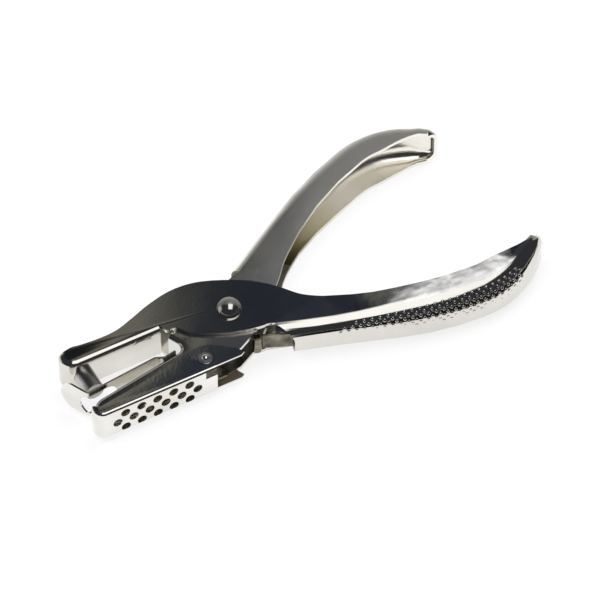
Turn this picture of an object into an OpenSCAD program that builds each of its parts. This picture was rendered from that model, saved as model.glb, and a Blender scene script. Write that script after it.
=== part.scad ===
/* [Levers] */
// Height of the outer lever's folded channel
lever_height = 12.6; // [12:0.1:13.4]
// Thickness of the sheet that both levers are folded from
sheet = 1.2; // [1.05:0.05:1.35]
// Outside radius of the folded edges
fold = 1.8; // [1.6:0.1:2.2]
// Gap between the nested pivot plates
running_gap = 0.1; // [0.08:0.01:0.13]
// Height of the hand grips at their widest
grip_height = 16.4; // [15.6:0.1:17]
// Depth of the hand grips from back to free edge
grip_depth = 10.5; // [10:0.1:11]

/* [Punching] */
// Diameter of the punch pin
punch_diameter = 6.3; // [6.0:0.1:6.4]
// Radial gap between the punch pin and its die ring
die_gap = 0.08; // [0.05:0.01:0.1]
// Length of the punch pin in front of its jaw
punch_reach = 7.3; // [6.8:0.1:7.6]

/* [Pivot] */
// Diameter of the pivot rivet's shank
rivet_diameter = 4; // [3.6:0.1:4.4]
// Diameter of the pivot rivet's domed head
dome_diameter = 7.8; // [7.2:0.1:8.4]
// Radial gap around the pivot shank
pivot_gap = 0.05; // [0.03:0.01:0.08]

/* [Chip catcher] */
// Sheet thickness of the chip catcher
catcher_sheet = 0.6; // [0.5:0.05:0.7]
// Diameter of the holes in the chip catcher
vent_diameter = 3.1; // [2.7:0.1:3.3]
// Spacing of the holes along a row
vent_pitch = 5.44; // [5.2:0.04:5.6]

/* [Stripper and spring] */
// Sheet thickness of the stripper
stripper_sheet = 0.6; // [0.5:0.05:0.7]
// Height of the stripper
stripper_height = 10.8; // [10.4:0.1:11]
// Thickness of the spring strip
spring_sheet = 0.7; // [0.6:0.05:0.8]
// Width of the spring strip
spring_width = 6.2; // [5.8:0.1:6.4]

/* [Hidden] */
$fn = 64;

// heights above the table
mid = grip_height / 2;
foot = mid - lever_height / 2;
inner_height = lever_height - 2 * sheet - 2 * running_gap;
catcher_height = inner_height + 2 * running_gap + 2 * catcher_sheet;
inner_fold = fold - 0.2;
catcher_fold = 0.9;
stub = 0.4;
fold_steps = 6;
bite = 0.2;
seat_gap = 0.03;

// a path starts at [x, y, heading]; its stretches are [0, length] or [radius, turn]
outer_jaw = [-52.1, 10.2, -165];
outer_jaw_run = [[3, 85], [4.7, 80], [0, 27.65]];
outer_grip = [7.3, -15.38, -18.68];
outer_grip_lead = 5;
outer_grip_run = [[0, outer_grip_lead + 34], [99.7, 16.6], [31.9, 51.7], [4, 48]];

// the inner lever is drawn mirrored, so that its flanges also lie to the left
jaw_heading = -8.9;
inner_jaw = [-53.05, 13.06, -53.9];
inner_jaw_run = [[6, 45], [0, 28.2], [-2.4, 106], [0, 3.4]];
inner_grip = [8.85, -15.05, -30.93];
inner_grip_run = [[0, 22.6], [155, 13.3], [31, 59], [4, 48]];

// next position after one stretch of a path; its fourth value is the way gone so far
function way(p) = len(p) > 3 ? p[3] : 0;
function ahead(p, s) =
  s[0] == 0
    ? [p[0] + s[1] * cos(p[2]), p[1] + s[1] * sin(p[2]), p[2], way(p) + s[1]]
    : let (side = sign(s[1]) * sign(s[0]), r = abs(s[0]), turn = side * abs(s[1]))
      let (cx = p[0] - side * r * sin(p[2]), cy = p[1] + side * r * cos(p[2]))
      [cx + side * r * sin(p[2] + turn), cy - side * r * cos(p[2] + turn), p[2] + turn,
        way(p) + r * abs(s[1]) * PI / 180];

// a point beside a position
function beside(p, d) = [p[0] - d * sin(p[2]), p[1] + d * cos(p[2])];

// points of a path shifted to its left by d
function inset(p, run, d, i = 0) =
  i >= len(run)
    ? [beside(p, d)]
    : let (s = run[i], steps = s[0] == 0 ? 1 : ceil(abs(s[1]) / 6))
      concat(
        [for (k = [0:steps - 1]) beside(ahead(p, [s[0], s[1] * k / steps]), d)],
        inset(ahead(p, s), run, d, i + 1)
      );

// the same, starting a little later and ending a little earlier
function inner_line(p, run, d, head, tail) =
  inset(
    ahead(p, [run[0][0], head]),
    [for (i = [0:len(run) - 1])
      [run[i][0], run[i][1] - (i == 0 ? head : 0) - (i == len(run) - 1 ? tail : 0)]],
    d
  );

function backward(p) = [for (i = [len(p) - 1:-1:0]) p[i]];

// smooth line through a few points
function blend(a, b, c, d, t) =
  0.5 * (2 * b + (c - a) * t + (2 * a - 5 * b + 4 * c - d) * t * t
    + (3 * b - a - 3 * c + d) * t * t * t);
function smooth(p, n = 4) = concat(
  [for (i = [0:len(p) - 2], k = [0:n - 1])
    blend(p[max(i - 1, 0)], p[i], p[i + 1], p[min(i + 2, len(p) - 1)], k / n)],
  [p[len(p) - 1]]
);

// frames along a path, one every few degrees of turn
function frames(p, run, i = 0) =
  i >= len(run)
    ? [p]
    : let (s = run[i], steps = s[0] == 0 ? ceil(s[1] / 7) : ceil(abs(s[1]) / 6))
      concat(
        [for (k = [0:steps - 1]) ahead(p, [s[0], s[1] * k / steps])],
        frames(ahead(p, s), run, i + 1)
      );

// quarter round from one heading to another
function quarter(x, z, r, from, to) =
  [for (k = [0:fold_steps]) let (a = from + (to - from) * k / fold_steps) [x + r * cos(a), z + r * sin(a)]];

// section of a folded channel: web at x 0, flanges towards +x
function channel(high, t, r, deep) =
  let (z = high / 2)
  concat(
    [[deep, z]], quarter(r, z - r, r, 90, 180), quarter(r, r - z, r, 180, 270), [[deep, -z]],
    [[deep, t - z]], quarter(r, r - z, r - t, 270, 180), quarter(r, z - r, r - t, 180, 90), [[deep, z - t]]
  );

// solid through one section at each frame
module folded(f, sections) {
  n = len(sections[0]);
  last = n * (len(f) - 1);
  polyhedron(
    points = [for (j = [0:len(f) - 1], q = sections[j])
      let (c = beside(f[j], q[0])) [c[0], c[1], q[1]]],
    faces = concat(
      [for (k = [0:n / 2 - 2]) [k, k + 1, n - 2 - k]],
      [for (k = [0:n / 2 - 2]) [k, n - 2 - k, n - 1 - k]],
      [for (k = [0:n / 2 - 2]) [last + k + 1, last + k, last + n - 2 - k]],
      [for (k = [0:n / 2 - 2]) [last + n - 2 - k, last + k, last + n - 1 - k]],
      [for (j = [0:len(f) - 2], k = [0:n - 1], half = [0, 1])
        let (a = j * n + k, b = j * n + (k + 1) % n)
        half == 0 ? [b, a, a + n] : [b, a + n, b + n]]
    )
  );
}

// edge of one unchanging section along a path
module hem(start, run, high, t, r) {
  f = frames(start, run);
  folded(f, [for (p = f) channel(high, t, r, r + stub)]);
}

// hand grip: its channel widens from the lever's height and closes at the tip
grip_tip_height = 12;
round_share = 0.35;
function grip_high(s, root, end) =
  lookup(s, [[0, root], [15, root], [26, root + 0.25 * (grip_height - root)],
    [36, root + 0.7 * (grip_height - root)], [48, grip_height], [end - 14, grip_height],
    [end - 5, grip_height - 1.6], [end, grip_tip_height]]);
function grip_deep(s, end) =
  lookup(s, [[0, grip_depth + 2.6], [8, grip_depth + 2.1], [14, grip_depth + 1.5],
    [20, grip_depth + 0.6], [27, grip_depth], [end - 24, grip_depth], [end - 19, grip_depth - 1],
    [end - 14, grip_depth - 2.5], [end - 8, grip_depth - 5.2], [end - 5, grip_depth - 6.7],
    [end, grip_depth - 6.9]]);
module grip(start, run, root, lead = 0) {
  f = frames(start, run);
  end = way(f[len(f) - 1]) - lead;
  folded(f, [for (p = f)
    let (s = way(p) - lead, high = grip_high(s, root, end), deep = grip_deep(s, end))
    channel(high, sheet, min(round_share * high, deep - stub), deep)]);
}

// upright band of one thickness along a path, to the left of it
module band(start, run, t, high) {
  linear_extrude(high)
    polygon(concat(inset(start, run, 0), backward(inset(start, run, t))));
}

// two plates of one outline, one above and one below the middle
module pair(high, t) {
  for (s = [-1, 1]) translate([0, 0, s * (high - t) / 2]) linear_extrude(t, center = true) children();
}

module outer_outline() {
  polygon(concat(
    inner_line(outer_jaw, outer_jaw_run, fold + bite, 4, 0.7),
    smooth([[-21.3, 4], [-20.8, 1.9], [-19.6, 1.5], [-17.2, 1.1], [-15.9, -1.1]]),
    smooth([[-14.3, -2.6], [-7, -7.1], [1.8, -10.1], [7.6, -11]]),
    [beside(ahead(outer_grip, [0, 0.6]), round_share * lever_height + bite)],
    [beside(ahead(outer_grip, [0, outer_grip_lead + 11]), round_share * lever_height + bite)],
    smooth([[28, -9.7], [22, -5.4], [16.5, 1.6], [9.3, 7.9], [-2.2, 13.7], [-11.5, 15.1],
      [-20.4, 13.5], [-28, 10.9], [-34, 9.1], [-40, 8.8], [-46, 9.3], [-49, 9.8], [-52.05, 9.3]])
  ));
}

module punch_lever() {
  color("silver") translate([0, 0, mid]) difference() {
    union() {
      hem(outer_jaw, outer_jaw_run, lever_height, sheet, fold);
      grip(outer_grip, outer_grip_run, lever_height, outer_grip_lead);
      pair(lever_height, sheet) outer_outline();
    }
    root_cut();
    cylinder(h = 2 * lever_height, d = rivet_diameter + 2 * pivot_gap, center = true);
    punch_bore(punch_diameter + 2 * seat_gap);
  }
}

// the near grip's back starts with an edge that is rounded up to the top plate
root_radius = 6.2;
root_cut_deep = 4.3;
module root_cut() {
  round_up = lever_height / 2 - sheet - 0.1 - root_radius;
  translate([outer_grip[0], outer_grip[1], 0]) rotate([0, 0, outer_grip[2]])
    translate([0.2, root_cut_deep, round_up]) rotate([90, 0, 0]) linear_extrude(root_cut_deep + 1)
      polygon(concat(
        [for (a = [0:7.5:90]) [root_radius * cos(a), root_radius * sin(a)]],
        [[-2, root_radius], [-2, -lever_height], [root_radius, -lever_height]]
      ));
}

// place and axis of the punch pin
punch_x = -48.4;
jaw_face = ahead(ahead(outer_jaw, outer_jaw_run[0]), outer_jaw_run[1])[1];
module punch_bore(d) {
  translate([punch_x, jaw_face, 0]) rotate([90, 0, 0]) cylinder(h = 4 * sheet, d = d, center = true);
}

// outline of the inner lever's jaw and pivot plates
module inner_outline() {
  polygon(concat(
    inner_line(inner_jaw, inner_jaw_run, inner_fold + bite, 4, 0.7),
    smooth([[-15, -5.4], [-8, -9.4], [-1, -10.8], [5, -11], [8.7, -12.4]]),
    [beside(ahead(inner_grip, [0, 1]), round_share * inner_height + bite)],
    [beside(ahead(inner_grip, [0, 14]), round_share * inner_height + bite)],
    smooth([[28.9, -13.7], [26.2, -11.3], [23.9, -9.1], [21, -5.8], [17, -1.7], [11, 3.6], [6, 8.6], [1.7, 11.6]]),
    [[-3.8, 14.4], [-9, 15.2], [-51.6, 15.6]]
  ));
}

module die_lever() {
  color("lightgray") translate([0, 0, mid]) mirror([0, 1, 0]) difference() {
    union() {
      hem(inner_jaw, inner_jaw_run, inner_height, sheet, inner_fold);
      grip(inner_grip, inner_grip_run, inner_height);
      pair(inner_height, sheet) inner_outline();
    }
    cylinder(h = 2 * lever_height, d = rivet_diameter + 2 * pivot_gap, center = true);
    die_axis() cylinder(h = 4 * sheet, d = ring_diameter + 2 * seat_gap, center = true);
    for (s = [-1, 1]) translate([stripper_hold[0], -stripper_hold[1], s * stripper_rivet_spread])
      rotate([90, 0, jaw_heading]) cylinder(h = 8 * sheet, d = stripper_rivet + 2 * seat_gap, center = true);
    translate([hinge[0], -hinge[1], 0])
      cylinder(h = 2 * lever_height, d = hinge_rivet + 2 * seat_gap, center = true);
  }
}

// the die ring stands where the punch pin arrives when the levers are closed
closing = 9;
face_start = ahead(inner_jaw, inner_jaw_run[0]);
die_shift = (punch_x * cos(closing) - jaw_face * sin(closing) - face_start[0]) * cos(jaw_heading)
  - (punch_x * sin(closing) + jaw_face * cos(closing) + face_start[1]) * sin(jaw_heading);
die_place = ahead(face_start, [0, die_shift]);
module die_axis() {
  translate([die_place[0], die_place[1], 0]) rotate([90, 0, jaw_heading]) children();
}
ring_wall = 0.6;
ring_diameter = punch_diameter + 2 * ring_wall;
ring_length = 2.6;
ring_lead = 0.3;

module die_ring() {
  color("gray") translate([0, 0, mid]) mirror([0, 1, 0]) die_axis()
    translate([0, 0, -ring_length]) difference() {
      cylinder(h = ring_length, d = ring_diameter);
      translate([0, 0, -1]) cylinder(h = ring_length + 2, d = punch_diameter + 2 * die_gap);
      translate([0, 0, ring_length - ring_lead])
        cylinder(h = 2 * ring_lead, d1 = punch_diameter, d2 = punch_diameter + 4 * ring_lead);
    }
}

module punch_pin() {
  tail = 2.5;
  color("white") translate([punch_x, jaw_face, mid]) rotate([90, 0, 0])
    translate([0, 0, -tail]) cylinder(h = punch_reach + tail, d = punch_diameter);
}

module pivot_rivet() {
  shank_top = foot + lever_height + pivot_gap;
  rise = 3.4;
  ball = (pow(dome_diameter / 2, 2) + rise * rise) / (2 * rise);
  color("silver") union() {
    cylinder(h = foot - pivot_gap, d = 1.6 * rivet_diameter);
    translate([0, 0, foot - pivot_gap - bite])
      cylinder(h = lever_height + 2 * pivot_gap + 2 * bite, d = rivet_diameter);
    translate([0, 0, shank_top]) intersection() {
      translate([0, 0, rise - ball]) sphere(ball);
      cylinder(h = rise + 1, d = dome_diameter + 1);
    }
  }
}

module pivot_sleeve() {
  color("gray") translate([0, 0, mid]) difference() {
    cylinder(h = inner_height - 2 * sheet - 2 * seat_gap, d = rivet_diameter + 3, center = true);
    cylinder(h = inner_height, d = rivet_diameter + 2 * seat_gap, center = true);
  }
}

// stripper: a strip over the near jaw with a lip folded up in front
stripper_bend = [-52.7, -8.1];
stripper_heading = 5.5;
lip_heading = 116;
lip_length = 10.5;
window_radius = 4;
window_shift = -0.4;
stripper_rivet = 1.6;
stripper_rivet_head = 2.6;
stripper_rivet_spread = inner_height / 2 - inner_fold - stripper_rivet_head / 2;
stripper_run = [[0, 23.4], [-1.2, 30], [0, 2.08], [1.8, 33.4], [0, 3.6]];
stripper_start = [stripper_bend[0] + 0.63, stripper_bend[1] + 0.06, stripper_heading];
stripper_end = ahead(ahead(ahead(ahead(stripper_start, stripper_run[0]), [-1.2, 30]),
  stripper_run[2]), stripper_run[3]);
stripper_hold = ahead(stripper_end, [0, 1.9]);

module stripper() {
  bend = 0.9;
  turn = 180 - lip_heading + stripper_heading;
  lip_fold = [stripper_start[0] - bend * sin(stripper_heading) - bend * sin(lip_heading),
    stripper_start[1] + bend * cos(stripper_heading) + bend * cos(lip_heading)];
  lip_flat = lip_length - 1;
  end_radius = stripper_height / 2 + 0.4;
  color("silver") translate([0, 0, mid]) difference() {
    translate([0, 0, -stripper_height / 2])
      band([lip_fold[0] + lip_flat * cos(lip_heading), lip_fold[1] + lip_flat * sin(lip_heading),
        lip_heading - 180], concat([[0, lip_flat], [bend, turn]], stripper_run),
        stripper_sheet, stripper_height);
    translate([lip_fold[0], lip_fold[1], 0]) rotate([90, 0, lip_heading])
      translate([lip_flat - end_radius, 0, -2]) difference() {
        translate([0, -end_radius - 1, 0]) cube([end_radius + 1, 2 * end_radius + 2, 4]);
        translate([0, 0, -1]) cylinder(h = 6, r = end_radius);
      }
    translate([stripper_bend[0], stripper_bend[1], window_shift]) {
      rotate([90, 0, stripper_heading]) {
        translate([6.5, 0, -2]) cylinder(h = 3, r = window_radius);
        translate([0.6, -window_radius, -2]) cube([5.9, 2 * window_radius, 3]);
      }
      rotate([90, 0, lip_heading]) translate([-1, 0, -1.5]) cylinder(h = 3, r = window_radius);
    }
    for (s = [-1, 1]) translate([stripper_hold[0], stripper_hold[1], s * stripper_rivet_spread])
      rotate([90, 0, -jaw_heading])
        cylinder(h = 4 * stripper_sheet, d = stripper_rivet + 2 * seat_gap, center = true);
  }
}

module stripper_rivets() {
  head = 0.5;
  top = stripper_sheet + 2 * seat_gap;
  low = sheet + 2 * seat_gap;
  color("silver") for (s = [-1, 1])
    translate([stripper_hold[0], stripper_hold[1], mid + s * stripper_rivet_spread])
      rotate([-90, 0, -jaw_heading]) union() {
        translate([0, 0, top]) cylinder(h = head, d = stripper_rivet_head);
        translate([0, 0, -low - head]) cylinder(h = head, d = stripper_rivet_head);
        translate([0, 0, -low - bite]) cylinder(h = top + low + 2 * bite, d = stripper_rivet);
      }
}

// chip catcher: a folded cover that swings on two small rivets
hinge = [-15.2, -13.2];
hinge_rivet = 1.6;
catcher_start = [-53.93, -13.04, -115];
catcher_run = [[4, 30], [3.2, 85], [0, 37.4]];
row_gap = 3.25;
row_middle = -0.6;

module catcher_outline() {
  polygon(concat(
    inner_line(catcher_start, catcher_run, catcher_fold + bite, 3, 0.3),
    [[-13.7, -17.3], [-5, -17.3], [-3.8, -16.6], [-4.8, -14.5], [-10.3, -10.1]],
    smooth([[-12.3, -8.8], [-16, -8.4], [-21.8, -9.1], [-31.6, -11.6], [-42, -13.2], [-48.5, -14], [-51.6, -14.5]])
  ));
}

module chip_catcher() {
  color("gainsboro") translate([0, 0, mid]) difference() {
    union() {
      hem(catcher_start, catcher_run, catcher_height, catcher_sheet, catcher_fold);
      pair(catcher_height, catcher_sheet) catcher_outline();
    }
    for (row = [-1, 0, 1]) {
      count = row == 0 ? 6 : 5;
      for (i = [0:count - 1])
        translate([-34.1 + (i - (count - 1) / 2) * vent_pitch, -18, row_middle + row * row_gap])
          rotate([90, 0, 0]) cylinder(h = 3, d = vent_diameter, center = true, $fn = 32);
    }
    translate([-17.6, -19, catcher_height / 2 - 3.6]) cube([5, 2, 2.9]);
    translate([hinge[0], hinge[1], 0])
      cylinder(h = 2 * catcher_height, d = hinge_rivet + 2 * pivot_gap, center = true, $fn = 32);
  }
}

module catcher_rivets() {
  reach = catcher_height / 2 + pivot_gap;
  inside = inner_height / 2 - sheet - seat_gap;
  dome = 1.4;
  color("silver") for (s = [0, 1])
    translate([hinge[0], hinge[1], mid]) rotate([180 * s, 0, 0]) union() {
      translate([0, 0, inside - 0.4]) cylinder(h = 0.4, d = 2.6);
      translate([0, 0, inside - 0.2]) cylinder(h = reach - inside + 0.4, d = hinge_rivet);
      translate([0, 0, reach]) cylinder(h = 0.25, d = 4.2);
      translate([0, 0, reach]) intersection() {
        translate([0, 0, -0.3]) sphere(dome);
        cylinder(h = 2, d = 4);
      }
    }
}

// spring: a flat strip with a rolled eye, one leg in each grip
eye = [3.35, -11.4];
eye_radius = 1.6;
spring_low = -spring_width / 2;
far_leg_heading = 66;
leg_start = [5, -11.85, -24.6];
leg_run = [[0, 7], [12, 5.92], [0, 20]];
far_leg_run = [[0, 27], [9, 36.1], [0, 16]];

module spring_eye() {
  color("gray") translate([0, 0, mid + spring_low]) difference() {
    union() {
      translate([eye[0], eye[1], 0]) cylinder(h = spring_width, r = eye_radius);
      mirror([0, 1, 0]) band([eye[0] + spring_sheet / 2 * sin(far_leg_heading),
        spring_sheet / 2 * cos(far_leg_heading) - eye[1], -far_leg_heading],
        far_leg_run, -spring_sheet, spring_width);
    }
    translate([eye[0], eye[1], -1]) cylinder(h = spring_width + 2, r = eye_radius - spring_sheet);
  }
}

module spring_leg() {
  color("gray") translate([0, 0, mid + spring_low]) band(leg_start, leg_run, spring_sheet, spring_width);
}

punch_lever();
die_lever();
pivot_rivet();
pivot_sleeve();
punch_pin();
die_ring();
stripper();
stripper_rivets();
chip_catcher();
catcher_rivets();
spring_eye();
spring_leg();
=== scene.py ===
import bpy
import bmesh
import math
from mathutils import Matrix, Vector


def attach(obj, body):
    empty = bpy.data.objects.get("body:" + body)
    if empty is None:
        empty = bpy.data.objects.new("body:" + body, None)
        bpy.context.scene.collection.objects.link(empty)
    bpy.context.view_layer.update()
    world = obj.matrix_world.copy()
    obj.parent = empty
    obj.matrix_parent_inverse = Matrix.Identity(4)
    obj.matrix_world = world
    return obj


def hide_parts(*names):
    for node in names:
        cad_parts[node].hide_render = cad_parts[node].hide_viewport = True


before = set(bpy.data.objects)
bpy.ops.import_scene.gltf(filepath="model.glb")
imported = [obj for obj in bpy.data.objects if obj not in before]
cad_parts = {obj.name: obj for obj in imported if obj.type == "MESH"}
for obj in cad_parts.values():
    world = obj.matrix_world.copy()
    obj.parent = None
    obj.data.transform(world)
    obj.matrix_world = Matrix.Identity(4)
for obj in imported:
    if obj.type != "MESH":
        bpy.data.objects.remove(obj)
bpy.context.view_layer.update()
MM = 0.001

# Camera: the photograph looks down on the lying tool at 50 degrees, with the tool's X axis turned
# 29 degrees away from the picture's right, from so far off that the perspective is weak.
ELEVATION = math.radians(50)
TURN = math.radians(29)
DISTANCE = 1.38
FOCAL_LENGTH = 269.9
SENSOR_WIDTH = 36
TARGET = Vector((23.07, -2.98, 8.4)) * MM
UP = Vector((0, 0, 1))
RIGHT = Vector((math.cos(TURN), -math.sin(TURN), 0))
AWAY = Vector((math.sin(TURN), math.cos(TURN), 0))
LOOK = AWAY * math.cos(ELEVATION) - UP * math.sin(ELEVATION)

camera = bpy.data.objects.new("camera", bpy.data.cameras.new("camera"))
camera.location = TARGET - LOOK * DISTANCE
camera.rotation_euler = LOOK.to_track_quat("-Z", "Y").to_euler()
camera.data.sensor_width = SENSOR_WIDTH
camera.data.lens = FOCAL_LENGTH
camera.data.clip_start = 0.05
camera.data.clip_end = 50
bpy.context.collection.objects.link(camera)
scene = bpy.context.scene
scene.camera = camera
scene.view_settings.view_transform = "Standard"


# Floor: a plain white sweep that the tool lies on. Camera and mirror rays see it as white paper,
# and a share of its light still comes from the lamps, so that it keeps the tool's shadow.
def new_mesh_object(name, bm, material):
    mesh = bpy.data.meshes.new(name)
    bm.to_mesh(mesh)
    bm.free()
    if material:
        mesh.materials.append(material)
    obj = bpy.data.objects.new(name, mesh)
    bpy.context.collection.objects.link(obj)
    return obj


def wire(tree, *pairs):
    for source, target in pairs:
        tree.links.new(source, target)


FLOOR_GREY = 0.9
FLOOR_GLOW_SHARE = 0.8
FLOOR_HALF_WIDTH = 3
floor_paint = bpy.data.materials.new("floor_paint")
floor_paint.use_nodes = True
nodes = floor_paint.node_tree.nodes
nodes.clear()
paper = nodes.new("ShaderNodeBsdfDiffuse")
paper.inputs["Color"].default_value = (FLOOR_GREY, FLOOR_GREY, FLOOR_GREY, 1)
glow = nodes.new("ShaderNodeEmission")
rays = nodes.new("ShaderNodeLightPath")
seen = nodes.new("ShaderNodeMath")
seen.operation = "MAXIMUM"
share = nodes.new("ShaderNodeMath")
share.operation = "MULTIPLY"
share.inputs[1].default_value = FLOOR_GLOW_SHARE
blend = nodes.new("ShaderNodeMixShader")
out = nodes.new("ShaderNodeOutputMaterial")
wire(
    floor_paint.node_tree,
    (rays.outputs["Is Camera Ray"], seen.inputs[0]),
    (rays.outputs["Is Glossy Ray"], seen.inputs[1]),
    (seen.outputs[0], share.inputs[0]),
    (share.outputs[0], blend.inputs[0]),
    (paper.outputs[0], blend.inputs[1]),
    (glow.outputs[0], blend.inputs[2]),
    (blend.outputs[0], out.inputs["Surface"]),
)
bm = bmesh.new()
bmesh.ops.create_grid(bm, x_segments=1, y_segments=1, size=FLOOR_HALF_WIDTH)
new_mesh_object("floor", bm, floor_paint)


# Studio: a soft box overhead, pale walls at the back and on the left, a dark table in front, and a
# dim sky that the flat plates mirror, olive over the jaws, dark blue over the pivot and pale over
# the near grip. They are cards that only mirror rays see.
def remap(nodes, from_range, to_range):
    node = nodes.new("ShaderNodeMapRange")
    node.inputs["From Min"].default_value, node.inputs["From Max"].default_value = from_range
    node.inputs["To Min"].default_value, node.inputs["To Max"].default_value = to_range
    return node


def set_stops(ramp, stops):
    ramp.color_ramp.interpolation = "EASE"
    while len(ramp.color_ramp.elements) < len(stops):
        ramp.color_ramp.elements.new(0.5)
    for element, (where, colour) in zip(ramp.color_ramp.elements, stops):
        element.position = where
        element.color = (*colour, 1)


def card(name, centre, across, along, wide, high, stops, strength):
    material = bpy.data.materials.new(name)
    material.use_nodes = True
    nodes = material.node_tree.nodes
    nodes.clear()
    place = nodes.new("ShaderNodeTexCoord")
    split = nodes.new("ShaderNodeSeparateXYZ")
    span = remap(nodes, (-wide / 2, wide / 2), (0, 1))
    ramp = nodes.new("ShaderNodeValToRGB")
    set_stops(ramp, stops)
    shine = nodes.new("ShaderNodeEmission")
    shine.inputs["Strength"].default_value = strength
    end = nodes.new("ShaderNodeOutputMaterial")
    wire(
        material.node_tree,
        (place.outputs["Object"], split.inputs[0]),
        (split.outputs["X"], span.inputs["Value"]),
        (span.outputs["Result"], ramp.inputs["Fac"]),
        (ramp.outputs["Color"], shine.inputs["Color"]),
        (shine.outputs[0], end.inputs["Surface"]),
    )
    bm = bmesh.new()
    bmesh.ops.create_grid(bm, x_segments=1, y_segments=1, size=0.5)
    bmesh.ops.scale(bm, vec=(wide, high, 1), verts=bm.verts)
    obj = new_mesh_object(name, bm, material)
    x = across.normalized()
    z = x.cross(along).normalized()
    facing = Matrix((x, z.cross(x), z)).transposed().to_4x4()
    obj.matrix_world = Matrix.Translation(centre) @ facing
    obj.visible_camera = False
    obj.visible_shadow = False
    obj.visible_diffuse = False


WHITE = (1, 1, 1)
HALF_LIT = (0.35, 0.35, 0.35)
UNLIT = (0, 0, 0)
card(
    "soft_box", UP * 1.0 - AWAY * 0.11 + RIGHT * 0.27, AWAY, RIGHT, wide=1.18, high=0.70,
    stops=((0, WHITE), (0.853, WHITE), (0.947, HALF_LIT), (1, UNLIT)), strength=1.34,
)

WALL_FOOT = (0.55, 0.55, 0.53)
WALL_MIDDLE = (0.4, 0.4, 0.38)
WALL_UPPER = (0.36, 0.36, 0.34)
WALL_TOP = (0.2, 0.2, 0.19)
card(
    "far_wall", AWAY * 1.5 + UP * 0.56, UP, RIGHT, wide=1.12, high=3.2,
    stops=((0, WALL_FOOT), (0.4, WALL_MIDDLE), (0.8, WALL_UPPER), (1, WALL_TOP)), strength=1.0,
)
card(
    "left_wall", AWAY * 0.3 - RIGHT * 1.3 + UP * 0.3, AWAY, UP, wide=1.2, high=0.5,
    stops=((0, WHITE), (1, WHITE)), strength=0.5,
)

NAVY = (0.016, 0.021, 0.033)
OLIVE = (0.19, 0.185, 0.16)
STEEL_BLUE = (0.14, 0.17, 0.22)
PALE = (0.62, 0.63, 0.64)
BLACK = (0.008, 0.008, 0.009)
MIRRORED = AWAY * math.cos(ELEVATION) + UP * math.sin(ELEVATION)
MIRRORED_UP = UP * math.cos(ELEVATION) - AWAY * math.sin(ELEVATION)
card(
    "dim_sky", TARGET + MIRRORED * 1.2, RIGHT, MIRRORED_UP, wide=0.56, high=0.5,
    stops=(
        (0.0, NAVY), (0.20, BLACK), (0.28, OLIVE), (0.34, OLIVE), (0.385, NAVY), (0.54, NAVY),
        (0.60, STEEL_BLUE), (0.65, PALE), (0.69, PALE), (0.73, BLACK), (1.0, NAVY),
    ),
    strength=1.0,
)

X_AXIS = Vector((1, 0, 0))
Y_AXIS = Vector((0, 1, 0))
SHADE = (0.012, 0.012, 0.013)
card(
    "dark_table", Vector((50, -365, 0.6)) * MM, X_AXIS, Y_AXIS, wide=1.1, high=0.64,
    stops=((0, SHADE), (1, SHADE)), strength=1.0,
)


LAMP_WIDE = 1.6


def lamp(name, place, watts):
    data = bpy.data.lights.new(name, "AREA")
    data.shape = "DISK"
    data.size = LAMP_WIDE
    data.energy = watts
    obj = bpy.data.objects.new(name, data)
    obj.location = place
    obj.rotation_euler = (TARGET - place).to_track_quat("-Z", "Y").to_euler()
    obj.visible_glossy = False
    bpy.context.collection.objects.link(obj)


lamp("key", UP * 1.6 - AWAY * 0.5 - RIGHT * 0.6, watts=32)
lamp("fill", UP * 1.4 + AWAY * 0.7 + RIGHT * 0.6, watts=24)

DARK_ROOM = (0.035, 0.036, 0.042, 1)
world = bpy.data.worlds.new("world")
world.use_nodes = True
scene.world = world
nodes = world.node_tree.nodes
nodes.clear()
dark = nodes.new("ShaderNodeBackground")
dark.inputs["Color"].default_value = DARK_ROOM
white = nodes.new("ShaderNodeBackground")
white.inputs["Color"].default_value = (1, 1, 1, 1)
rays = nodes.new("ShaderNodeLightPath")
blend = nodes.new("ShaderNodeMixShader")
out = nodes.new("ShaderNodeOutputWorld")
wire(
    world.node_tree,
    (rays.outputs["Is Camera Ray"], blend.inputs[0]),
    (dark.outputs[0], blend.inputs[1]),
    (white.outputs[0], blend.inputs[2]),
    (blend.outputs[0], out.inputs["Surface"]),
)


# Punch lever: one sheet of nickel-plated steel, cut out, folded to a channel at the jaw and drawn
# to a deep round-backed grip. The plating is bright, a little wavy, cloudy and finely scratched.
# On the grip's upper face the draw left it worked and patchy, with a lighter colour there that is
# painted sheen, and inside the grip it is darker towards the root, painted shade deep in the
# hollow.
RAMP_START = -100
RAMP_END = 120
CLOUD_EDGES = (0.25, 0.75)
PATCH_EDGES = (0.28, 0.72)
HAZE_MORE = 1.2
HAZE_LESS = 0.9
WORKED_SCALE = 260
SWELL_SCALE = 70
DENT_SCALE = 240
GRAIN_SCALE = 1100
SWELL_DEEP = 0.5 * MM
SCRATCH_DEEP = 0.03 * MM


def along_x(tree, place, stops):
    split = tree.nodes.new("ShaderNodeSeparateXYZ")
    along = remap(tree.nodes, (RAMP_START * MM, RAMP_END * MM), (0, 1))
    ramp = tree.nodes.new("ShaderNodeValToRGB")
    set_stops(ramp, [((x - RAMP_START) / (RAMP_END - RAMP_START), tint) for x, tint in stops])
    wire(
        tree,
        (place.outputs["Object"], split.inputs[0]),
        (split.outputs["X"], along.inputs["Value"]),
        (along.outputs["Result"], ramp.inputs["Fac"]),
    )
    return ramp.outputs["Color"]


def noise(nodes, scale, detail):
    node = nodes.new("ShaderNodeTexNoise")
    node.inputs["Scale"].default_value = scale
    node.inputs["Detail"].default_value = detail
    return node


def bump(nodes, strength, distance):
    node = nodes.new("ShaderNodeBump")
    node.inputs["Strength"].default_value = strength
    node.inputs["Distance"].default_value = distance
    return node


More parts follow.
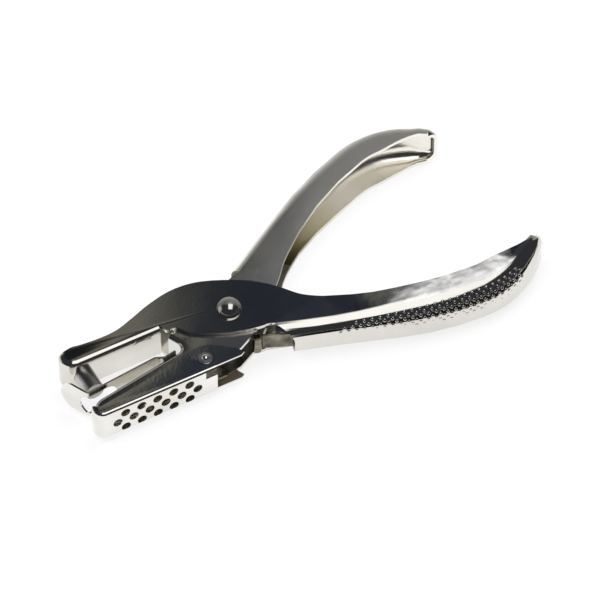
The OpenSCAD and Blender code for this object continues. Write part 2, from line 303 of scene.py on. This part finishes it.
def roughen(tree, place, haze, satin, uneven):
    added = along_x(tree, place, [(x, (rough, rough, rough)) for x, rough in satin])
    worked = noise(tree.nodes, WORKED_SCALE, 2)
    patches = remap(tree.nodes, PATCH_EDGES, (1 - uneven, 1 + uneven))
    patched = tree.nodes.new("ShaderNodeMath")
    patched.operation = "MULTIPLY_ADD"
    wire(
        tree,
        (place.outputs["Object"], worked.inputs["Vector"]),
        (worked.outputs["Fac"], patches.inputs["Value"]),
        (added, patched.inputs[0]),
        (patches.outputs["Result"], patched.inputs[1]),
        (haze, patched.inputs[2]),
    )
    return added, patched.outputs[0]


def dish(tree, added, swelling, dents, lean):
    deeper = tree.nodes.new("ShaderNodeMath")
    deeper.operation = "MULTIPLY"
    deeper.inputs[1].default_value = dents
    surface = tree.nodes.new("ShaderNodeNewGeometry")
    dished = tree.nodes.new("ShaderNodeVectorMath")
    dished.operation = "MULTIPLY_ADD"
    dished.inputs[1].default_value = -AWAY * lean
    levelled = tree.nodes.new("ShaderNodeVectorMath")
    levelled.operation = "NORMALIZE"
    wire(
        tree,
        (added, deeper.inputs[0]),
        (deeper.outputs[0], swelling.inputs["Strength"]),
        (added, dished.inputs[0]),
        (surface.outputs["Normal"], dished.inputs[2]),
        (dished.outputs[0], levelled.inputs[0]),
        (levelled.outputs[0], swelling.inputs["Normal"]),
    )


def plating(
    name, colour, worn, rough, cloud, wave, scratch,
    drawn=(1, 1, 1), satin=None, uneven=0.1, metal=1, dents=0, lean=0, darkening_along_x=None,
):
    material = bpy.data.materials.new(name)
    material.use_nodes = True
    tree = material.node_tree
    nodes = tree.nodes
    shader = nodes["Principled BSDF"]
    shader.inputs["Metallic"].default_value = metal
    place = nodes.new("ShaderNodeTexCoord")
    stretch = nodes.new("ShaderNodeMapping")
    stretch.inputs["Scale"].default_value = drawn
    clouds = noise(nodes, cloud, 3)
    swell = noise(nodes, DENT_SCALE if dents else SWELL_SCALE, 1)
    grain = noise(nodes, GRAIN_SCALE, 3)
    cloudy = remap(nodes, CLOUD_EDGES, (0, 1))
    haze = remap(nodes, (0, 1), (rough * HAZE_MORE, rough * HAZE_LESS))
    tone = nodes.new("ShaderNodeMix")
    tone.data_type = "RGBA"
    tone.inputs["A"].default_value = (*worn, 1)
    tone.inputs["B"].default_value = (*colour, 1)
    tinted = tone
    # A colour ramp along X darkens the tone; inside the grips it is painted shade.
    if darkening_along_x:
        tinted = nodes.new("ShaderNodeMix")
        tinted.data_type = "RGBA"
        tinted.blend_type = "MULTIPLY"
        tinted.inputs["Factor"].default_value = 1
        wire(
            tree,
            (tone.outputs["Result"], tinted.inputs["A"]),
            (along_x(tree, place, darkening_along_x), tinted.inputs["B"]),
        )
    swelling = bump(nodes, wave, SWELL_DEEP)
    scratches = bump(nodes, scratch, SCRATCH_DEEP)
    roughness = haze.outputs["Result"]
    if satin:
        added, roughness = roughen(tree, place, roughness, satin, uneven)
        if dents:
            dish(tree, added, swelling, dents, lean)
    wire(
        tree,
        (place.outputs["Object"], clouds.inputs["Vector"]),
        (place.outputs["Object"], swell.inputs["Vector"]),
        (place.outputs["Object"], stretch.inputs["Vector"]),
        (stretch.outputs["Vector"], grain.inputs["Vector"]),
        (clouds.outputs["Fac"], cloudy.inputs["Value"]),
        (cloudy.outputs["Result"], tone.inputs["Factor"]),
        (tinted.outputs["Result"], shader.inputs["Base Color"]),
        (cloudy.outputs["Result"], haze.inputs["Value"]),
        (roughness, shader.inputs["Roughness"]),
        (swell.outputs["Fac"], swelling.inputs["Height"]),
        (grain.outputs["Fac"], scratches.inputs["Height"]),
        (swelling.outputs["Normal"], scratches.inputs["Normal"]),
        (scratches.outputs["Normal"], shader.inputs["Normal"]),
    )
    return material


SHARP = math.radians(38)
MERGED = 0.004 * MM
FLAT_ENOUGH = math.radians(0.6)


def carve(bm, knife_bm):
    stock = new_mesh_object("stock", bm, None)
    knife = new_mesh_object("knife", knife_bm, None)
    cut = stock.modifiers.new("cut", "BOOLEAN")
    cut.operation = "DIFFERENCE"
    cut.object = knife
    bpy.context.view_layer.update()
    carved = bmesh.new()
    carved.from_object(stock, bpy.context.evaluated_depsgraph_get())
    bpy.data.objects.remove(stock)
    bpy.data.objects.remove(knife)
    return carved


def formed_piece(
    name, node, material, body, edge=0, other_finishes=(), where=(), knife=None
):
    bm = bmesh.new()
    bm.from_mesh(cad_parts[node].data)
    bmesh.ops.remove_doubles(bm, verts=bm.verts, dist=MERGED)
    if knife:
        bm = carve(bm, knife)
    bmesh.ops.dissolve_limit(bm, angle_limit=FLAT_ENOUGH, verts=bm.verts, edges=bm.edges)
    bmesh.ops.recalc_face_normals(bm, faces=bm.faces)
    for face in bm.faces:
        face.smooth = True
        for index, chosen in enumerate(where):
            if chosen(face):
                face.material_index = index + 1
    for line in bm.edges:
        line.smooth = len(line.link_faces) == 2 and line.calc_face_angle(0) < SHARP
    obj = new_mesh_object(name, bm, material)
    for finish in other_finishes:
        obj.data.materials.append(finish)
    if edge:
        soft = obj.modifiers.new("soft_edges", "BEVEL")
        soft.width = edge * MM
        soft.segments = 2
        soft.limit_method = "ANGLE"
        soft.angle_limit = SHARP
        soft.harden_normals = True
    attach(obj, body)
    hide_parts(node)


nickel = plating(
    "plated_steel", (0.75, 0.73, 0.685), (0.67, 0.65, 0.60),
    rough=0.09, cloud=75, wave=0.04, scratch=0.1,
)
# The grip's upward faces are rougher in patches, and lighter in colour as a painted sheen.
worked_sheen_flange = plating(
    "worked_sheen_flange", (0.93, 0.93, 0.92), (0.80, 0.79, 0.77),
    rough=0.07, cloud=75, wave=0.04, scratch=0.1,
    satin=((33, 0), (40, 0.05), (50, 0.15), (62, 0.3), (80, 0.3), (88, 0.03)),
    uneven=0.3, dents=2.6, lean=0.62, darkening_along_x=((34, (0.8, 0.79, 0.75)), (58, (1, 1, 1))),
)
# Inside both grips the colour darkens towards the root: painted shade deep in the hollow.
inner_plate = plating(
    "inner_plate", (0.93, 0.91, 0.85), (0.86, 0.83, 0.75),
    rough=0.1, cloud=60, wave=0.05, scratch=0.3,
    satin=((0, 0.2), (66, 0.2), (90, 0.0)),
    darkening_along_x=(
        (10, (0.22, 0.21, 0.14)), (30, (0.32, 0.3, 0.19)), (48, (0.85, 0.83, 0.74)),
        (60, (1, 1, 1)),
    ),
)

MID = 8.2
HOLLOW_START = 8
HOLLOW_DEEP = 1.2
WEB_FACING = 0.3
FLANGE_START = 34
NEARLY_LEVEL = 0.985


def hollow(face):
    middle = face.calc_center_median() / MM
    grip_side = -1 if middle.y > 0 else 1
    on_flange = face.normal.z * (MID - middle.z) > HOLLOW_DEEP
    on_web = face.normal.y * grip_side > WEB_FACING
    return middle.x > HOLLOW_START and (on_flange or on_web)


# Upward faces of the grip beyond the neck, which get the painted sheen.
def flange_top(face):
    return face.calc_center_median().x > FLANGE_START * MM and face.normal.z > NEARLY_LEVEL


# The near grip's back starts with an edge that is rounded up to the top plate, so a knife of that
# shape takes the corner off the sheet there.
OUTER_ROOT = 12.6
ROOT_X = 7.49
ROOT_Y = -15.44
ROOT_HEADING = -18.68
ROOT_RADIUS = 6.2
ROOT_CUT_DEEP = 4.3
KNIFE_BACK = -2
KNIFE_FOOT = -11
KNIFE_FRONT = -1


def root_knife():
    bm = bmesh.new()
    centre = OUTER_ROOT / 2 - ROOT_RADIUS
    arc = [
        (ROOT_RADIUS * math.cos(math.radians(a)), centre + ROOT_RADIUS * math.sin(math.radians(a)))
        for a in range(0, 90, 6)
    ]
    top = centre + ROOT_RADIUS
    corners = [(0, top), (KNIFE_BACK, top), (KNIFE_BACK, KNIFE_FOOT), (ROOT_RADIUS, KNIFE_FOOT)]
    for x, z in arc + corners:
        bm.verts.new((x, KNIFE_FRONT, z))
    face = bm.faces.new(bm.verts)
    grown = bmesh.ops.extrude_face_region(bm, geom=[face])["geom"]
    moved = [v for v in grown if isinstance(v, bmesh.types.BMVert)]
    bmesh.ops.translate(bm, vec=(0, ROOT_CUT_DEEP - KNIFE_FRONT, 0), verts=moved)
    bmesh.ops.recalc_face_normals(bm, faces=bm.faces)
    bmesh.ops.scale(bm, vec=(MM, MM, MM), verts=bm.verts)
    turn = Matrix.Rotation(math.radians(ROOT_HEADING), 4, "Z")
    place = Matrix.Translation(Vector((ROOT_X, ROOT_Y, MID)) * MM)
    bmesh.ops.transform(bm, verts=bm.verts, matrix=place @ turn)
    return bm


formed_piece(
    "punch_lever_sheet", "punch_lever", nickel, "punch_body", edge=0.12,
    other_finishes=(inner_plate, worked_sheen_flange), where=(hollow, flange_top), knife=root_knife(),
)


# Grip dots: small bumps pressed into the backs of both grips in staggered rows, which start at
# the neck and run to the tip, and round the lower edge only near the tip. They are the same sheet
# and carry the same plating. The ones on the flat of the back are worn down.
GRIP_HIGH = 16.4
ROUND_SHARE = 0.35
NECK = ((15, 0), (26, 0.25), (36, 0.7), (48, 1))
TIP_STARTS = 14
TIP_ENDS = 5
TIP_DROP = 1.6
OUTER_START = (12.04, -16.98, -18.68)
OUTER_RUN = ((0, 34), (99.7, 16.6), (31.9, 51.7), (4, 48))
OUTER_END = 95.0
DOT_ROWS = 17
DOT_PITCH = 2.5
ROW_PITCH = 1.22
DOT_RADIUS = 0.6
DOT_RISE = 0.24
WORN_LESS = 0.14
WORN_SINK = 0.085
BARE_TIP = 15
BEND_MARGIN = 0.6
LATE_ON_BEND = 1.6
LATE_GROWS = 1.3
LATE_ON_FLAT = 12
UNDERSIDE_LATE = 70


def follow(start, run, distance):
    x, y, heading = start
    for radius, amount in run:
        length = amount if radius == 0 else abs(radius) * math.radians(amount)
        part = min(distance, length)
        before = math.radians(heading)
        if radius == 0:
            x += part * math.cos(before)
            y += part * math.sin(before)
        else:
            heading += math.degrees(part / radius)
            after = math.radians(heading)
            x += radius * (math.sin(after) - math.sin(before))
            y -= radius * (math.cos(after) - math.cos(before))
        distance -= part
        if distance <= 0:
            break
    return x, y, heading


def between(s, points):
    for (s0, v0), (s1, v1) in zip(points, points[1:]):
        if s <= s1:
            return v0 + (v1 - v0) * (s - s0) / (s1 - s0)
    return points[-1][1]


def grip_high(s, root, end):
    neck = [(at, root + share * (GRIP_HIGH - root)) for at, share in NECK]
    tip = [(end - TIP_STARTS, GRIP_HIGH), (end - TIP_ENDS, GRIP_HIGH - TIP_DROP)]
    return between(s, [(0, root)] + neck + tip)


def dot_place(s, down, start, run, root, end, side, first, edge):
    x, y, heading = follow(start, run, s)
    high = grip_high(s, root, end)
    radius = ROUND_SHARE * high
    bend = radius * math.pi / 2
    web = high - 2 * radius
    depth = min(down, 2 * bend + web - down)
    above = bend - BEND_MARGIN - depth
    late = LATE_ON_BEND * above**LATE_GROWS if above > 0 else -LATE_ON_FLAT * above
    half = 1 if depth == down else -1
    if half < 0:
        late += UNDERSIDE_LATE
    if depth < edge or s < first + late:
        return None
    tilt = min(depth / radius, math.pi / 2)
    inward = radius * (1 - math.sin(tilt))
    z = high / 2 - radius * (1 - math.cos(tilt)) - max(0, depth - bend)
    turn = math.radians(heading)
    out = Vector((math.sin(turn), -math.cos(turn), 0))
    spot = Vector((x, y, MID + half * z)) - out * inward
    normal = out * math.sin(tilt) + UP * half * math.cos(tilt)
    if side < 0:
        spot.y, normal.y = -spot.y, -normal.y
    wear = min(max(-above, 0), 1)
    spot -= normal * WORN_SINK * wear
    upright = normal.to_track_quat("Z", "Y").to_matrix().to_4x4()
    flat = Matrix.Diagonal((1, 1, (DOT_RISE - WORN_LESS * wear) / DOT_RADIUS, 1))
    return Matrix.Translation(spot * MM) @ upright @ flat


def grip_dots(name, material, body, start, run, root, end, side, first, edge):
    bm = bmesh.new()
    row_mesh = bpy.data.meshes.new(name + "_row")
    for row in range(DOT_ROWS):
        dots = bmesh.new()
        for k in range(int((end - BARE_TIP - first) / DOT_PITCH)):
            s = first + (k + 0.5 * (row % 2)) * DOT_PITCH
            down = edge + row * ROW_PITCH
            place = dot_place(s, down, start, run, root, end, side, first, edge)
            if place is not None:
                bmesh.ops.create_uvsphere(
                    dots, u_segments=8, v_segments=5, radius=DOT_RADIUS * MM, matrix=place
                )
        dots.to_mesh(row_mesh)
        dots.free()
        bm.from_mesh(row_mesh)
    bpy.data.meshes.remove(row_mesh)
    for face in bm.faces:
        face.smooth = True
    obj = new_mesh_object(name, bm, material)
    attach(obj, body)


grip_dots(
    "punch_grip_dots", nickel, "punch_body", OUTER_START, OUTER_RUN, OUTER_ROOT, OUTER_END,
    side=1, first=13, edge=4.0,
)


# Die lever: the inner sheet, folded the same way, with the near jaw in front and the far grip
# behind. Its plating is more satin towards the grip's end, and under the chip catcher its back
# has a dull yellowish finish, painted shade for what shows through the catcher's holes.
CATCHER_COVERS = (-52.5, -17)
CATCHER_BACK = -9.4
TURNED_AWAY = 0.2


# Faces of the die lever's back under the chip catcher, which get the dull finish as painted shade.
def under_catcher(face):
    middle = face.calc_center_median() / MM
    behind = face.normal.y < -TURNED_AWAY or face.normal.z * (MID - middle.z) > TURNED_AWAY
    covered = CATCHER_COVERS[0] < middle.x < CATCHER_COVERS[1] and middle.y < CATCHER_BACK
    return covered and behind


# Dull yellowish finish for the die lever's back under the catcher: painted shade seen through the
# holes.
dull = plating(
    "dull_shade_under_catcher", (0.66, 0.61, 0.40), (0.5, 0.46, 0.3),
    rough=0.4, cloud=120, wave=0.1, scratch=0.4, metal=0.3,
)
# Dark umber finish given to parts that lie deep in shade: painted shade.
umber_shade = plating(
    "umber_inside", (0.22, 0.19, 0.14), (0.14, 0.12, 0.09),
    rough=0.35, cloud=120, wave=0.1, scratch=0.4, metal=0.5,
)
satin_steel = plating(
    "satin_steel", (0.80, 0.79, 0.76), (0.74, 0.72, 0.68),
    rough=0.14, cloud=75, wave=0.05, scratch=0.5,
    satin=((-4, 0), (8, 0.08), (26, 0.19), (50, 0.33), (80, 0.4), (100, 0.4)),
)
formed_piece(
    "die_lever_sheet", "die_lever", satin_steel, "die_body", edge=0.12,
    other_finishes=(dull, inner_plate), where=(under_catcher, hollow),
)
INNER_START = (8.85, -15.05, -30.93)
INNER_RUN = ((0, 22.6), (155, 13.3), (31, 59), (4, 48))
INNER_ROOT = 10.0
INNER_END = 93.8
grip_dots(
    "die_grip_dots", satin_steel, "die_body", INNER_START, INNER_RUN, INNER_ROOT, INNER_END,
    side=-1, first=17, edge=8.4,
)


# Punch and die: a ground steel pin staked in the far jaw, and a hardened steel ring pressed into
# the near jaw, which the pin enters when the grips are squeezed.
ground = plating(
    "ground_steel", (0.56, 0.55, 0.53), (0.44, 0.43, 0.41),
    rough=0.28, cloud=250, wave=0.1, scratch=0.9, drawn=(1, 7, 1),
)
formed_piece("punch_pin_turned", "punch_pin", ground, "punch_body", edge=0.15)
formed_piece("die_ring_turned", "die_ring", ground, "die_body")


# Stripper: a thin plated strip over the near jaw, with a window for the punch and a rounded lip,
# held by two small rivets at the throat. Deep in the throat it is dark umber, painted shade.
STRIP_ROOT_START = -27
thin = plating(
    "thin_plate", (0.88, 0.865, 0.83), (0.74, 0.72, 0.67),
    rough=0.1, cloud=90, wave=0.15, scratch=0.4,
)


# The strip's root, deep in the throat, takes the dark umber finish: painted shade.
def strip_root(face):
    return face.calc_center_median().x > STRIP_ROOT_START * MM


formed_piece(
    "stripper_strip", "stripper", thin, "die_body", edge=0.08,
    other_finishes=(umber_shade,), where=(strip_root,),
)
bright = plating(
    "bright_rivet", (0.92, 0.91, 0.89), (0.8, 0.79, 0.77),
    rough=0.2, cloud=200, wave=0.1, scratch=0.4,
)
formed_piece(
    "stripper_rivet_heads", "stripper_rivets", bright, "die_body", edge=0.06
)


# Chip catcher: a thin folded cover with sixteen round holes, swinging on two domed rivets. Its
# inside has a dark umber finish, painted shade, so the holes look dark.
CATCHER_INSIDE_X = (-53.6, -12)
CATCHER_OUTER_FACE = -17.6


# The catcher's inward faces take the dark umber finish: painted shade inside the cover.
def catcher_inside(face):
    middle = face.calc_center_median() / MM
    inward = face.normal.y > TURNED_AWAY or face.normal.z * (MID - middle.z) > TURNED_AWAY
    within = CATCHER_INSIDE_X[0] < middle.x < CATCHER_INSIDE_X[1]
    return within and inward and middle.y > CATCHER_OUTER_FACE


formed_piece(
    "catcher_cover", "chip_catcher", thin, "catcher_body", edge=0.08,
    other_finishes=(umber_shade,), where=(catcher_inside,),
)
formed_piece("hinge_domes", "catcher_rivets", bright, "die_body")


# Pivot: a domed rivet through both levers, with a turned spacer between the inner plates. The far
# half of its head is rougher and greyer, a painted reflection of the grey far side.
HEAD_FOOT = 12
HEAD_PARTING = -0.9
headed = plating(
    "headed_rivet", (0.70, 0.69, 0.66), (0.6, 0.59, 0.56),
    rough=0.13, cloud=160, wave=0.1, scratch=0.5,
)
# Rougher, greyer finish on the far half of the head: a painted reflection of the grey far side.
grey_reflection_head = plating(
    "grey_reflection_head", (0.62, 0.61, 0.58), (0.5, 0.49, 0.46),
    rough=0.5, cloud=160, wave=0.1, scratch=0.8,
)


# Faces on the far half of the head, which get the painted reflection.
def far_half(face):
    middle = face.calc_center_median()
    return middle.dot(AWAY) > HEAD_PARTING * MM and middle.z > HEAD_FOOT * MM


formed_piece(
    "pivot_dome", "pivot_rivet", headed, "die_body",
    other_finishes=(grey_reflection_head,), where=(far_half,),
)
turned = plating(
    "inner_steel", (0.5, 0.49, 0.47), (0.4, 0.39, 0.37),
    rough=0.3, cloud=120, wave=0.1, scratch=0.8,
)
formed_piece("pivot_spacer", "pivot_sleeve", turned, "die_body")


# Spring: a flat tempered strip, darkened in patches, rolled to an eye beside the pivot, with one
# leg in each grip. The leg in the far grip lies in the hollow and is dark umber, painted shade.
FAR_LEG_START = 8
strip = plating(
    "spring_steel", (0.36, 0.33, 0.26), (0.03, 0.028, 0.02),
    rough=0.16, cloud=230, wave=0.3, scratch=0.6, drawn=(1, 1, 6),
)


# The far leg, inside the far grip, takes the dark umber finish: painted shade.
def far_leg(face):
    middle = face.calc_center_median() / MM
    return middle.x > FAR_LEG_START and middle.y > 0


formed_piece(
    "spring_coil", "spring_eye", strip, "die_body", edge=0.25,
    other_finishes=(umber_shade,), where=(far_leg,),
)
formed_piece("spring_near_leg", "spring_leg", strip, "punch_body", edge=0.25)
